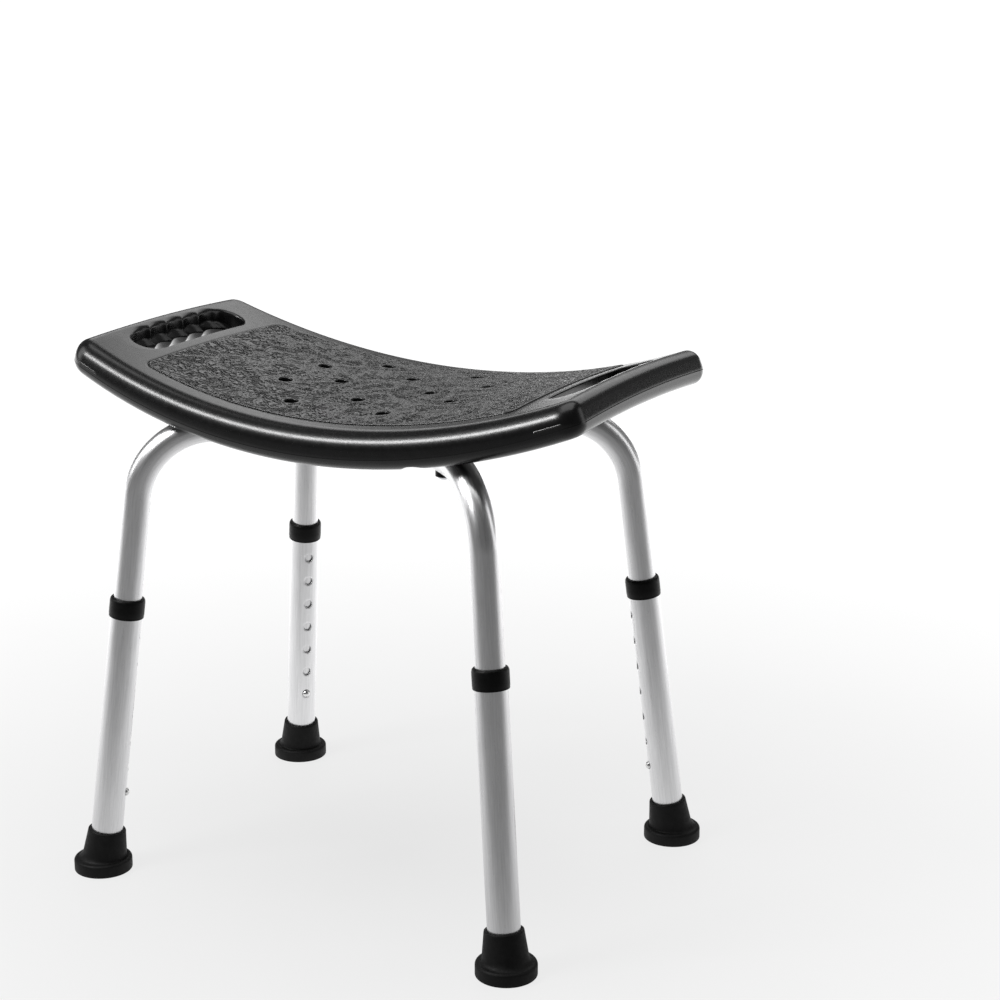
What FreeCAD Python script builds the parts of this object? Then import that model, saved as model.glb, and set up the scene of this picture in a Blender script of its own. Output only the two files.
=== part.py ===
import FreeCAD, Part
import math
import os
import Sketcher
from FreeCAD import Placement, Rotation, Vector

doc = FreeCAD.newDocument("shower_stool")

# ---------------------------------------------------------------- driving dimensions
# All lengths in mm and angles in degrees. Frame: origin on the floor under the seat's
# centre, +X along the seat, +Y to the back, +Z up.
DIMENSIONS = {
    # seat, measured on the sharp form before its edges are rounded
    "seatTop": 446.0,
    "seatArc": 680.0,
    "seatCrown": 1800.0,
    "seatThick": 33.4,
    "seatLowArc": 669.0,
    "seatHalfAngle": 21.53,
    "seatEndHalf": 125.3,
    "seatMidHalf": 144.0,
    "seatEndX": 254.0,
    "cornerRadius": 20.0,
    "topEdge": 11.0,
    "lowEdge": 14.0,
    "wall": 3.2,
    "sideWall": 8.0,
    "blank": 175.0,
    # underside recess that takes the leg tubes
    "recessDeck": 16.0,
    "recessHalfX": 190.0,
    "recessEndHalf": 106.0,
    "recessMidHalf": 122.0,
    "recessCorner": 22.0,
    # raised panel and the groove round it
    "panelRise": 1.0,
    "panelHalfX": 186.0,
    "panelEndHalf": 104.0,
    "panelMidHalf": 116.0,
    "panelCorner": 9.0,
    "grooveWide": 1.5,
    "grooveDeep": 0.9,
    # drain holes
    "drainRadius": 6.0,
    # hand slots
    "slotX": 222.0,
    "slotInner": 19.4,
    "slotOuter": 10.3,
    "slotHalf": 60.5,
    "scallopRadius": 24.2,
    "scallopShift": 10.6,
    "scallopPitch": 24.4,
    # relief notches in the lower edge of the long sides
    "notchX": 112.0,
    "notchRadius": 24.6,
    "notchZ": 395.6,
    "notchLong": 50.0,
    "notchY": 104.0,
    # legs
    "legAzimuth": 37.0,
    "footRadius": 268.3,
    "splay": 7.294,
    "upperOuter": 12.7,
    "upperInner": 11.2,
    "lowerOuter": 14.3,
    "lowerInner": 13.0,
    "bendRadius": 69.0,
    "runHeight": 416.0,
    "runStart": 30.0,
    "upperEnd": 54.0,
    "lowerStart": 8.0,
    "lowerEnd": 259.5,
    "buttonAt": 76.56,
    "holePitch": 25.4,
    "pinHole": 4.0,
    # collar
    "collarStart": 246.0,
    "collarEnd": 264.0,
    "collarOuter": 15.9,
    "collarBore": 13.1,
    "collarRound": 1.6,
    # foot
    "flangeRadius": 26.6,
    "flangeHeight": 12.0,
    "flangeRound": 3.0,
    "coneLow": 20.6,
    "coneHigh": 17.0,
    "coneStart": 9.0,
    "coneEnd": 39.2,
    "treadDeep": 1.2,
    "footWasher": 1.5,
    # snap button
    "buttonRadius": 3.7,
    "buttonTip": 17.3,
    "buttonDome": 2.2,
    "buttonFlange": 5.0,
    "flangeBack": 8.4,
    "flangeFront": 9.8,
    "springThick": 0.6,
    "springWide": 7.0,
    "springFold": 128.0,
    # fasteners
    "screwInner": 60.0,
    "screwOuter": 137.0,
    "screwRadius": 2.95,
    "screwHead": 6.0,
    "headHigh": 3.6,
    "screwTop": 438.0,
    "washerRadius": 7.5,
    "washerLow": 400.6,
    "insertRadius": 4.0,
    "insertBore": 3.0,
    "insertLow": 429.5,
    "insertHigh": 439.0,
    "bossRadius": 15.0,
    "bossLow": 419.5,
    "saddle": 12.72,
    "plugDepth": 11.0,
    "plugCap": 2.0,
}

sheet = doc.addObject("Spreadsheet::Sheet", "dims")
for row, (alias, value) in enumerate(DIMENSIONS.items(), start=1):
    sheet.set("A%d" % row, alias)
    sheet.set("B%d" % row, repr(value))
    sheet.setAlias("B%d" % row, alias)
doc.recompute()


def dim(alias):
    return DIMENSIONS[alias]


def cell(expression):
    """Spell aliases as references to the sheet."""
    words = expression.replace("(", " ( ").replace(")", " ) ").split()
    return " ".join("dims." + word if word in DIMENSIONS else word for word in words)


def bind(obj, **sizes):
    """Give an object's properties values, text being an expression of sheet aliases."""
    for prop, value in sizes.items():
        if isinstance(value, str):
            obj.setExpression(prop, cell(value))
        else:
            setattr(obj, prop, value)
    return obj


def primitive(kind, name, placement=None, **sizes):
    obj = bind(doc.addObject("Part::" + kind, name), **sizes)
    if placement is not None:
        obj.Placement = placement
    return obj


def fused(name, shapes):
    obj = doc.addObject("Part::MultiFuse", name)
    obj.Shapes = shapes
    return obj


def common(name, first, second):
    obj = doc.addObject("Part::Common", name)
    obj.Base, obj.Tool = first, second
    return obj


def cut(name, base, tool):
    obj = doc.addObject("Part::Cut", name)
    obj.Base, obj.Tool = base, tool
    return obj


def at(x=0.0, y=0.0, z=0.0, axis=(0, 0, 1), angle=0.0):
    return Placement(Vector(x, y, z), Rotation(Vector(*axis), angle))


def origin_plane(body, role):
    for feature in body.Origin.OriginFeatures:
        if feature.Role == role:
            return feature
    raise ValueError(role)


def sketch_on(body, role, name):
    sketch = body.newObject("Sketcher::SketchObject", name)
    sketch.AttachmentSupport = [(origin_plane(body, role), "")]
    sketch.MapMode = "FlatFace"
    return sketch


def name_size(sketch, constraint, name, expression):
    """Add a named driving constraint tied to the sheet."""
    index = sketch.addConstraint(constraint)
    sketch.renameConstraint(index, name)
    sketch.setExpression("Constraints." + name, cell(expression))


def polygon(sketch, points):
    vectors = [Vector(u, v, 0) for u, v in points]
    count = len(vectors)
    for i in range(count):
        sketch.addGeometry(Part.LineSegment(vectors[i], vectors[(i + 1) % count]), False)
    for i in range(count):
        sketch.addConstraint(Sketcher.Constraint("Coincident", i, 2, (i + 1) % count, 1))


def revolved(body, sketch, name, axis="V_Axis"):
    turn = body.newObject("PartDesign::Revolution", name)
    turn.Profile = sketch
    turn.ReferenceAxis = (sketch, [axis])
    turn.Angle = 360
    body.Tip = turn
    return turn


# ---------------------------------------------------------------- leg frames
LEGS = {"fl": 180.0 + dim("legAzimuth"), "fr": -dim("legAzimuth"),
        "bl": 180.0 - dim("legAzimuth"), "br": dim("legAzimuth")}
SPLAY = math.radians(dim("splay"))


def radial(azimuth):
    """Frame whose X points outward through a leg, with its origin under the seat."""
    return Placement(Vector(0, 0, 0), Rotation(Vector(0, 0, 1), azimuth))


def foot_frame(azimuth):
    """Upright frame at a foot's centre on the floor, X outward."""
    return radial(azimuth) * at(x=dim("footRadius"))


def axis_frame(azimuth):
    """Frame at a foot's centre with Z up the sloping leg, X outward."""
    return foot_frame(azimuth) * at(axis=(0, 1, 0), angle=-dim("splay"))


def along_leg(length, outward=0.0):
    """Point at a length up the leg, in the radial frame."""
    x = dim("footRadius") - length * math.sin(SPLAY) + outward * math.cos(SPLAY)
    z = length * math.cos(SPLAY) + outward * math.sin(SPLAY)
    return Vector(x, 0, z)


# ---------------------------------------------------------------- seat
def arc_block(name, surface, arc, other, sweep=60.0):
    """Block with one crowned face swept about the seat's long arc and one plain face."""
    half_width = dim("blank")
    body = doc.addObject("PartDesign::Body", name + "_body")
    sketch = sketch_on(body, "YZ_Plane", name + "_section")
    edge = surface - half_width ** 2 / (2 * dim("seatCrown"))
    left, right = Vector(-half_width, edge, 0), Vector(half_width, edge, 0)
    far_left, far_right = Vector(-half_width, other, 0), Vector(half_width, other, 0)
    sketch.addGeometry(Part.Arc(left, Vector(0, surface, 0), right), False)
    sketch.addGeometry(Part.LineSegment(right, far_right), False)
    sketch.addGeometry(Part.LineSegment(far_right, far_left), False)
    sketch.addGeometry(Part.LineSegment(far_left, left), False)
    centre = surface + arc
    sketch.addGeometry(Part.LineSegment(Vector(-100, centre, 0), Vector(100, centre, 0)), True)
    turn = body.newObject("PartDesign::Revolution", name + "_sweep")
    turn.Profile = sketch
    turn.ReferenceAxis = (sketch, ["Axis0"])
    turn.Midplane = True
    bind(turn, Angle=sweep)
    body.Tip = turn
    return body


def bowed_plan(name, end_x, end_half, mid_half, reach, corner=0.0):
    """Upright block whose long sides bow outward, from end_half at end_x to mid_half."""
    body = doc.addObject("PartDesign::Body", name + "_body")
    sketch = sketch_on(body, "XY_Plane", name + "_plan")
    rise = mid_half - end_half
    radius = (end_x ** 2 + rise ** 2) / (2 * rise)
    edge = mid_half - radius + math.sqrt(radius ** 2 - reach ** 2)
    for side in (1, -1):
        start, end = Vector(-side * reach, side * edge, 0), Vector(side * reach, side * edge, 0)
        sketch.addGeometry(Part.Arc(start, Vector(0, side * mid_half, 0), end), False)
        sketch.addGeometry(Part.LineSegment(end, Vector(side * reach, -side * edge, 0)), False)
    pad = body.newObject("PartDesign::Pad", name + "_block")
    pad.Profile = sketch
    pad.Length = 700
    body.Tip = pad
    if corner:
        doc.recompute()
        rounded(body, name + "_corners", corner, lambda box, middle: box.ZLength > 600)
    return body


def rounded(body, name, radius, chosen):
    """Fillet on the edges picked by their bounding box and middle point."""
    last = body.Tip
    edges = []
    for number, edge in enumerate(last.Shape.Edges, start=1):
        middle = edge.valueAt((edge.FirstParameter + edge.LastParameter) / 2)
        if chosen(edge.BoundBox, middle):
            edges.append("Edge%d" % number)
    fillet = body.newObject("PartDesign::Fillet", name)
    fillet.Base = (last, edges)
    bind(fillet, Radius=radius)
    body.Tip = fillet
    doc.recompute()


def rounded_form(name, inset_side, inset_face, corner, top_edge, low_edge):
    """Seat-shaped solid, smaller than the seat by the two insets, with rounded edges."""
    top, low = dim("seatTop"), dim("seatTop") - dim("seatThick")
    shrink = math.degrees(inset_side / dim("seatArc"))
    upper = arc_block(
        name + "_upper", top - inset_face, dim("seatArc") + inset_face, low - 40.0,
        "2 * seatHalfAngle - %r" % (2 * shrink),
    )
    lower = arc_block(
        name + "_lower", low + inset_face, dim("seatLowArc") - inset_face, top + 40.0,
    )
    band = common(name + "_band", upper, lower)
    plan = bowed_plan(
        name + "_outline",
        dim("seatEndX"),
        dim("seatEndHalf") - inset_side,
        dim("seatMidHalf") - inset_side,
        320.0,
    )
    blank = common(name + "_blank", band, plan)
    doc.recompute()
    body = doc.addObject("PartDesign::Body", name)
    body.BaseFeature = blank
    doc.recompute()

    def upright(box, middle):
        return box.ZLength > 15 and box.YLength < 4 and abs(middle.x) > 200

    def level(middle):
        """Height above the surface midway between the seat's two faces."""
        centre = top + dim("seatArc")
        drop = middle.y ** 2 / (2 * dim("seatCrown"))
        return centre - math.hypot(middle.x, centre - middle.z) + drop - (top + low) / 2

    rounded(body, name + "_corners", corner, upright)
    rounded(body, name + "_top_edge", top_edge,
            lambda box, middle: level(middle) > 8 and box.DiagonalLength > 12)
    rounded(body, name + "_low_edge", low_edge,
            lambda box, middle: level(middle) < -8 and box.DiagonalLength > 12)
    return body


def recess_form(name, grow):
    """Space under the deck for the tubes, enlarged all round by grow."""
    roof = arc_block(
        name + "_roof", dim("seatTop") - dim("recessDeck") + grow,
        dim("seatArc") + dim("recessDeck") - grow, 300.0,
    )
    plan = bowed_plan(
        name + "_outline", dim("recessHalfX"), dim("recessEndHalf") + grow,
        dim("recessMidHalf") + grow, dim("recessHalfX") + grow, "recessCorner",
    )
    return common(name, roof, plan)


def slot_form(name, grow, side):
    """Upright hand slot at one end of the seat, with finger scallops on its outer wall."""
    low, high = 380.0, 140.0
    inner, outer, half = dim("slotInner") + grow, dim("slotOuter") + grow, dim("slotHalf")
    shapes = [
        primitive("Box", name + "_core", at(-inner, -half, low), Height=high, Width="2 * slotHalf",
                  Length="slotInner + slotOuter + %r" % (2 * grow))
    ]
    for label, y in (("near", -half), ("far", half)):
        shapes.append(
            primitive("Cylinder", "%s_%s" % (name, label), at((outer - inner) / 2, y, low),
                      Height=high, Radius="( slotInner + slotOuter ) / 2 + %r" % grow)
        )
    for i in range(-2, 3):
        shapes.append(
            primitive("Cylinder", "%s_scallop_%d" % (name, i + 3),
                      at(-dim("scallopShift"), i * dim("scallopPitch"), low, angle=-90),
                      Angle=180, Height=high, Radius="scallopRadius + %r" % grow)
        )
    slot = fused(name, shapes)
    slot.Placement = at(angle=0 if side > 0 else 180) * at(x=dim("slotX"))
    return slot


DRAINS = [(x, y) for x in (-86, 86) for y in (-32, 32)]
DRAINS += [(x, y) for x in (-47, 47) for y in (-80, 0, 80)]
DRAINS += [(0, -46), (0, 46)]

SCREWS = {}
for corner, azimuth in LEGS.items():
    for label in ("screwInner", "screwOuter"):
        SCREWS[corner + "_" + label[5:].lower()] = (label, azimuth)


def drains(name, grow):
    columns = []
    for i, (x, y) in enumerate(DRAINS):
        columns.append(
            primitive("Cylinder", "%s_%02d" % (name, i + 1), at(x, y, 380), Height=120,
                      Radius="drainRadius + %r" % grow)
        )
    return fused(name, columns)


def screw_columns(name, radius, low, high):
    """One upright cylinder at each screw's place."""
    columns = []
    for place, (label, azimuth) in SCREWS.items():
        where = radial(azimuth) * at(x=dim(label), z=dim(low))
        columns.append(
            primitive("Cylinder", "%s_%s" % (name, place), where, Radius=radius,
                      Height="%s - %s" % (high, low))
        )
    return columns


def seat():
    wall, side_wall = dim("wall"), dim("sideWall")
    outer = rounded_form("seat_form", 0.0, 0.0, "cornerRadius", "topEdge", "lowEdge")
    inner = rounded_form("seat_hollow_form", side_wall, wall, "cornerRadius - sideWall + 2",
                         "topEdge - wall", "lowEdge - wall")
    solid_parts = [recess_form("hollow_recess", wall), drains("hollow_drains", wall)]
    solid_parts += [slot_form("hollow_slot_%d" % (end > 0), wall, end) for end in (-1, 1)]
    hollow = cut("seat_hollow", inner, fused("seat_hollow_walls", solid_parts))

    notches = []
    for x in (-1, 1):
        for y in (-1, 1):
            start = at(x * dim("notchX"), y * (dim("notchY") + dim("notchLong") / 2), dim("notchZ"))
            turned = start * at(axis=(1, 0, 0), angle=90) * at(z=-dim("notchLong") / 2)
            notches.append(
                primitive("Cylinder", "notch_%d%d" % (x > 0, y > 0), turned, Radius="notchRadius",
                          Height="notchLong")
            )
    openings = [recess_form("recess", 0.0), drains("drain_holes", 0.0)]
    openings += [slot_form("slot_%d" % (end > 0), 0.0, end) for end in (-1, 1)]

    reach, wide, rise = dim("panelHalfX"), dim("grooveWide"), dim("panelRise")
    panel_plan = bowed_plan("panel_plan", reach, dim("panelEndHalf"), dim("panelMidHalf"), reach,
                            "panelCorner")
    groove_plan = bowed_plan("groove_plan", reach, dim("panelEndHalf") + wide,
                             dim("panelMidHalf") + wide, reach + wide, "panelCorner + grooveWide")
    raised = arc_block("panel_face", dim("seatTop") + rise, dim("seatArc") - rise,
                       dim("seatTop") - 8.0)
    panel = common("raised_panel", raised, panel_plan)
    below = arc_block("groove_floor", dim("seatTop") - dim("grooveDeep"),
                      dim("seatArc") + dim("grooveDeep"), -50.0)
    groove = cut("panel_groove", cut("groove_ring", groove_plan, panel_plan), below)

    bosses = []
    for place, (label, azimuth) in SCREWS.items():
        where = radial(azimuth) * at(x=dim(label), z=dim("bossLow"))
        bosses.append(
            primitive("Cylinder", "boss_" + place, where, Radius="bossRadius",
                      Height="seatTop - bossLow - wall")
        )
    channels = []
    for corner, azimuth in LEGS.items():
        where = radial(azimuth) * at(z=dim("runHeight")) * at(axis=(0, 1, 0), angle=90)
        channels.append(
            primitive("Cylinder", "channel_" + corner, where, Radius="saddle",
                      Height="screwOuter + bossRadius + 2")
        )
    pads = cut("tube_pads", fused("boss_set", bosses), fused("channel_set", channels))
    sockets = fused("insert_sockets",
                    screw_columns("socket", "insertRadius", "bossLow", "insertHigh"))

    opened = fused("seat_panelled", [outer, panel])
    for number, opening in enumerate([groove] + openings + notches, start=1):
        opened = cut("seat_opened_%d" % number, opened, opening)
    hollowed = cut("seat_hollowed", opened, hollow)
    padded = fused("seat_padded", [hollowed, pads])
    whole = cut("seat_shell", padded, sockets)
    return whole


# ---------------------------------------------------------------- legs
def tube_path(body, name):
    """Leg tube's centre line: level run under the seat, bend, sloping leg."""
    sketch = sketch_on(body, "XZ_Plane", name)
    level, start = dim("runHeight"), dim("runStart")
    corner = along_leg(level / math.cos(SPLAY))
    reach = dim("bendRadius") * math.tan((math.pi / 2 - SPLAY) / 2)
    run_end = Vector(corner.x - reach, level, 0)
    leg_top = Vector(corner.x + reach * math.sin(SPLAY), level - reach * math.cos(SPLAY), 0)
    centre = Vector(run_end.x, level - dim("bendRadius"), 0)
    foot = along_leg(dim("upperEnd"))
    turn = Part.Circle(centre, Vector(0, 0, 1), dim("bendRadius"))
    sketch.addGeometry(Part.LineSegment(Vector(start, level, 0), run_end), False)
    sketch.addGeometry(Part.ArcOfCircle(turn, SPLAY, math.pi / 2), False)
    sketch.addGeometry(Part.LineSegment(leg_top, Vector(foot.x, foot.z, 0)), False)
    sketch.addConstraint(Sketcher.Constraint("Tangent", 0, 2, 1, 2))
    sketch.addConstraint(Sketcher.Constraint("Tangent", 1, 1, 2, 1))
    sketch.addConstraint(Sketcher.Constraint("Horizontal", 0))
    name_size(sketch, Sketcher.Constraint("Radius", 1, dim("bendRadius")), "bend", "bendRadius")
    name_size(sketch, Sketcher.Constraint("DistanceX", -1, 1, 0, 1, start), "start", "runStart")
    name_size(sketch, Sketcher.Constraint("DistanceY", -1, 1, 0, 1, level), "level", "runHeight")
    return sketch


def upper_leg(corner, azimuth):
    name = "upper_leg_" + corner
    body = doc.addObject("PartDesign::Body", name + "_body")
    path = tube_path(body, name + "_path")
    section = sketch_on(body, "YZ_Plane", name + "_section")
    section.AttachmentOffset = at(z=dim("runStart"))
    for radius in ("upperOuter", "upperInner"):
        centre = Vector(0, dim("runHeight"), 0)
        section.addGeometry(Part.Circle(centre, Vector(0, 0, 1), dim(radius)), False)
    for index, radius in enumerate(("upperOuter", "upperInner")):
        name_size(section, Sketcher.Constraint("Radius", index, dim(radius)), radius, radius)
    tube = body.newObject("PartDesign::AdditivePipe", name + "_tube")
    tube.Profile = section
    tube.Spine = (path, ["Edge1", "Edge2", "Edge3"])
    body.Tip = tube
    tools = []
    for label in ("screwInner", "screwOuter"):
        tools.append(
            primitive("Cylinder", "%s_%s" % (name, label), at(dim(label), 0, dim("runHeight") - 20),
                      Radius="screwRadius + 0.45", Height=40)
        )
    hole = axis_local("Cylinder", name + "_pin_hole", dim("buttonAt"), -dim("upperOuter") - 2,
                      Radius="pinHole", Height=8)
    whole = cut(name, body, fused(name + "_holes", tools + [hole]))
    whole.Placement = radial(azimuth)
    return whole


def axis_local(kind, name, length, outward, **sizes):
    """Primitive whose own axis points outward across the leg, placed in the radial frame."""
    where = at(x=dim("footRadius")) * at(axis=(0, 1, 0), angle=-dim("splay"))
    where = where * at(outward, 0, length, (0, 1, 0), 90)
    return primitive(kind, name, where, **sizes)


def lower_leg(corner, azimuth):
    name = "lower_leg_" + corner
    body = doc.addObject("PartDesign::Body", name + "_body")
    section = sketch_on(body, "XY_Plane", name + "_section")
    section.AttachmentOffset = at(z=dim("lowerStart"))
    for radius in ("lowerOuter", "lowerInner"):
        section.addGeometry(Part.Circle(Vector(0, 0, 0), Vector(0, 0, 1), dim(radius)), False)
    for index, radius in enumerate(("lowerOuter", "lowerInner")):
        section.addConstraint(Sketcher.Constraint("Coincident", index, 3, -1, 1))
        name_size(section, Sketcher.Constraint("Radius", index, dim(radius)), radius, radius)
    tube = body.newObject("PartDesign::Pad", name + "_tube")
    tube.Profile = section
    bind(tube, Length="lowerEnd - lowerStart")
    body.Tip = tube
    holes = []
    for i in range(7):
        height = dim("buttonAt") + i * dim("holePitch")
        where = at(-dim("lowerOuter") - 2, 0, height, (0, 1, 0), 90)
        holes.append(
            primitive("Cylinder", "%s_hole_%d" % (name, i + 1), where, Radius="pinHole", Height=8)
        )
    whole = cut(name, body, fused(name + "_holes", holes))
    whole.Placement = axis_frame(azimuth)
    return whole


def leg_collar(corner, azimuth):
    name = "leg_collar_" + corner
    body = doc.addObject("PartDesign::Body", name)
    section = sketch_on(body, "XZ_Plane", name + "_section")
    start, seat_at, end = dim("collarStart"), dim("lowerEnd"), dim("collarEnd")
    polygon(section, [
        (dim("lowerOuter"), start),
        (dim("collarOuter") - 0.6, start),
        (dim("collarOuter"), start + 0.6),
        (dim("collarOuter"), end - dim("collarRound") - 1.0),
        (dim("collarOuter") - 0.35 * dim("collarRound"), end - 0.9),
        (dim("collarOuter") - dim("collarRound"), end),
        (dim("collarBore") + 0.4, end),
        (dim("collarBore"), end - 0.4),
        (dim("collarBore"), seat_at),
        (dim("lowerOuter"), seat_at),
    ])
    revolved(body, section, name + "_turned")
    body.Placement = axis_frame(azimuth)
    return body


def rubber_foot(corner, azimuth):
    name = "rubber_foot_" + corner
    tilt = at(axis=(0, 1, 0), angle=-dim("splay"))
    body = doc.addObject("PartDesign::Body", name + "_flange")
    section = sketch_on(body, "XZ_Plane", name + "_section")
    rim, high, ease = dim("flangeRadius"), dim("flangeHeight"), dim("flangeRound")
    polygon(section, [
        (0, 0),
        (rim - 0.8, 0),
        (rim, 0.8),
        (rim, high - ease),
        (rim - 0.3 * ease, high - 0.3 * ease),
        (rim - ease, high),
        (0, high),
    ])
    revolved(body, section, name + "_pad")
    cone = primitive("Cone", name + "_cone", tilt * at(z=dim("coneStart")), Radius1="coneLow",
                     Radius2="coneHigh", Height="coneEnd - coneStart")
    bore = primitive("Cylinder", name + "_bore", tilt * at(z=dim("lowerStart") - dim("footWasher")),
                     Radius="lowerOuter", Height=60)
    treads = []
    for i, radius in enumerate((9.0, 15.0, 21.0)):
        outer = primitive("Cylinder", "%s_tread_%d" % (name, i + 1), at(z=-1), Radius=radius + 1.0,
                          Height="treadDeep + 1")
        core = primitive("Cylinder", "%s_land_%d" % (name, i + 1), at(z=-2), Radius=radius - 1.0,
                         Height=10)
        treads.append(cut("%s_ring_%d" % (name, i + 1), outer, core))
    whole = cut(name, fused(name + "_solid", [body, cone]), fused(name + "_cuts", [bore] + treads))
    whole.Placement = foot_frame(azimuth)
    return whole


def foot_washer(corner, azimuth):
    name = "foot_washer_" + corner
    start = dim("lowerStart") - dim("footWasher")
    disc = primitive("Cylinder", name + "_disc", at(z=start), Radius="lowerOuter - 0.1",
                     Height="footWasher")
    hole = primitive("Cylinder", name + "_hole", at(z=start - 1), Radius=4.0, Height=10)
    whole = cut(name, disc, hole)
    whole.Placement = axis_frame(azimuth)
    return whole


def snap_button(corner, azimuth):
    """Domed pin with a shoulder inside the tube, its axis pointing in toward the seat's centre."""
    name = "snap_button_" + corner
    body = doc.addObject("PartDesign::Body", name)
    section = sketch_on(body, "XZ_Plane", name + "_section")
    radius, tip, dome = dim("buttonRadius"), dim("buttonTip"), dim("buttonDome")
    back, front, wide = dim("flangeBack"), dim("flangeFront"), dim("buttonFlange")
    sphere = (radius ** 2 + dome ** 2) / (2 * dome)
    half = math.asin(radius / sphere) / 2
    points = [Vector(0, back, 0), Vector(wide, back, 0), Vector(wide, front, 0),
              Vector(radius, front, 0), Vector(radius, tip - dome, 0), Vector(0, tip, 0)]
    middle = Vector(sphere * math.sin(half), tip - sphere + sphere * math.cos(half), 0)
    for i in range(4):
        section.addGeometry(Part.LineSegment(points[i], points[i + 1]), False)
    section.addGeometry(Part.Arc(points[4], middle, points[5]), False)
    section.addGeometry(Part.LineSegment(points[5], points[0]), False)
    revolved(body, section, name + "_turned")
    body.Placement = axis_frame(azimuth) * at(z=dim("buttonAt"), axis=(0, 1, 0), angle=-90)
    return body


def button_spring(corner, azimuth):
    """V-shaped leaf spring: one arm behind the button, the other on the far wall."""
    name = "button_spring_" + corner
    body = doc.addObject("PartDesign::Body", name)
    section = sketch_on(body, "XZ_Plane", name + "_section")
    thick, fold = dim("springThick"), dim("springFold")
    near, far = -dim("flangeBack"), 10.4
    low, high = dim("buttonAt") - 5.0, dim("buttonAt") + 5.0
    polygon(section, [
        (near, low), (near, high), (-0.8, fold), (0.8, fold), (far, high), (far, low),
        (far - thick, low), (far - thick, high - 0.3), (0.35, fold - 2.0), (-0.35, fold - 2.0),
        (near + thick, high - 0.3), (near + thick, low),
    ])
    strip = body.newObject("PartDesign::Pad", name + "_strip")
    strip.Profile = section
    strip.Midplane = True
    bind(strip, Length="springWide")
    body.Tip = strip
    body.Placement = axis_frame(azimuth)
    return body


def tube_plug(corner, azimuth):
    """Cap in a leg tube's inner end."""
    name = "tube_plug_" + corner
    where = at(x=dim("runStart"), z=dim("runHeight"), axis=(0, 1, 0), angle=90)
    stem = primitive("Cylinder", name + "_stem", where, Radius="upperInner", Height="plugDepth")
    cap = primitive("Cylinder", name + "_cap", where * at(z=-dim("plugCap")), Height="plugCap",
                    Radius="upperOuter")
    whole = fused(name, [stem, cap])
    whole.Placement = radial(azimuth)
    return whole


# ---------------------------------------------------------------- fasteners
def seat_screws():
    """Pan-head screws with a cross recess, from under the tubes up into the inserts."""
    shanks = screw_columns("shank", "screwRadius", "washerLow", "screwTop")
    heads = []
    for i, (place, (label, azimuth)) in enumerate(SCREWS.items()):
        where = radial(azimuth) * at(x=dim(label), z=dim("washerLow"))
        high = dim("headHigh")
        head = primitive("Cylinder", "head_" + place, where * at(z=-high), Height="headHigh",
                         Radius="screwHead")
        crown_radius = (dim("screwHead") ** 2 + high ** 2) / (2 * high) + 0.8
        ball = primitive("Sphere", "crown_" + place, where * at(z=crown_radius - high),
                         Radius=crown_radius)
        pan = common("pan_" + place, head, ball)
        bars = []
        for j, angle in enumerate((20.0 * i, 20.0 * i + 90.0)):
            bars.append(
                primitive("Box", "cross_%s_%d" % (place, j), where * at(z=-high - 1.0) *
                          at(angle=angle) * at(-2.6, -0.6, 0), Length=5.2, Width=1.2, Height=3.0)
            )
        heads.append(fused("screw_" + place, [cut("head_cut_" + place, pan,
                     fused("cross_" + place, bars)), shanks[i]]))
    group = doc.addObject("Part::Compound", "seat_screws")
    group.Links = heads
    return group


def saddle_washers():
    """Spacers shaped to the tube's underside, one under each screw head."""
    rings = []
    for place, (label, azimuth) in SCREWS.items():
        where = radial(azimuth) * at(x=dim(label), z=dim("washerLow"))
        disc = primitive("Cylinder", "saddle_disc_" + place, where, Radius="washerRadius", Height=5)
        tube = radial(azimuth) * at(x=dim(label) - 20, z=dim("runHeight"), axis=(0, 1, 0), angle=90)
        cuts = [
            primitive("Cylinder", "saddle_tube_" + place, tube, Radius="upperOuter", Height=40),
            primitive("Cylinder", "saddle_hole_" + place, where * at(z=-1), Height=8,
                      Radius="screwRadius + 0.35"),
        ]
        rings.append(cut("saddle_" + place, disc, fused("saddle_cuts_" + place, cuts)))
    group = doc.addObject("Part::Compound", "saddle_washers")
    group.Links = rings
    return group


def threaded_inserts():
    outsides = screw_columns("insert_outside", "insertRadius", "insertLow", "insertHigh")
    bores = screw_columns("insert_bore", "insertBore", "bossLow", "insertHigh")
    sleeves = []
    for place, outside, bore in zip(SCREWS, outsides, bores):
        sleeves.append(cut("insert_" + place, outside, bore))
    group = doc.addObject("Part::Compound", "threaded_inserts")
    group.Links = sleeves
    return group


# ---------------------------------------------------------------- assembly
PARTS = {"seat_shell": seat()}
for corner, azimuth in LEGS.items():
    for build in (upper_leg, lower_leg, leg_collar, rubber_foot, foot_washer, snap_button,
                  button_spring, tube_plug):
        PARTS["%s_%s" % (build.__name__, corner)] = build(corner, azimuth)
for build in (seat_screws, saddle_washers, threaded_inserts):
    PARTS[build.__name__] = build()
doc.recompute()

for label, part in PARTS.items():
    part.Label = label
doc.recompute()

for obj in doc.Objects:
    if "Invalid" in obj.State or "Error" in obj.State:
        raise RuntimeError("%s: %s" % (obj.Name, obj.State))
for label, part in PARTS.items():
    if part.Shape.isNull() or not part.Shape.isValid() or not part.Shape.Solids:
        raise RuntimeError("bad shape: " + label)

os.makedirs("parts", exist_ok=True)
for label, part in PARTS.items():
    part.Shape.exportStep(os.path.join("parts", label + ".step"))
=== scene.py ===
"""Shower stool: a dished black plastic seat on four splayed, telescopic aluminium legs."""

import math

import bmesh
import bpy
import numpy as np
from mathutils import Matrix, Vector
from mathutils.geometry import delaunay_2d_cdt


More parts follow.
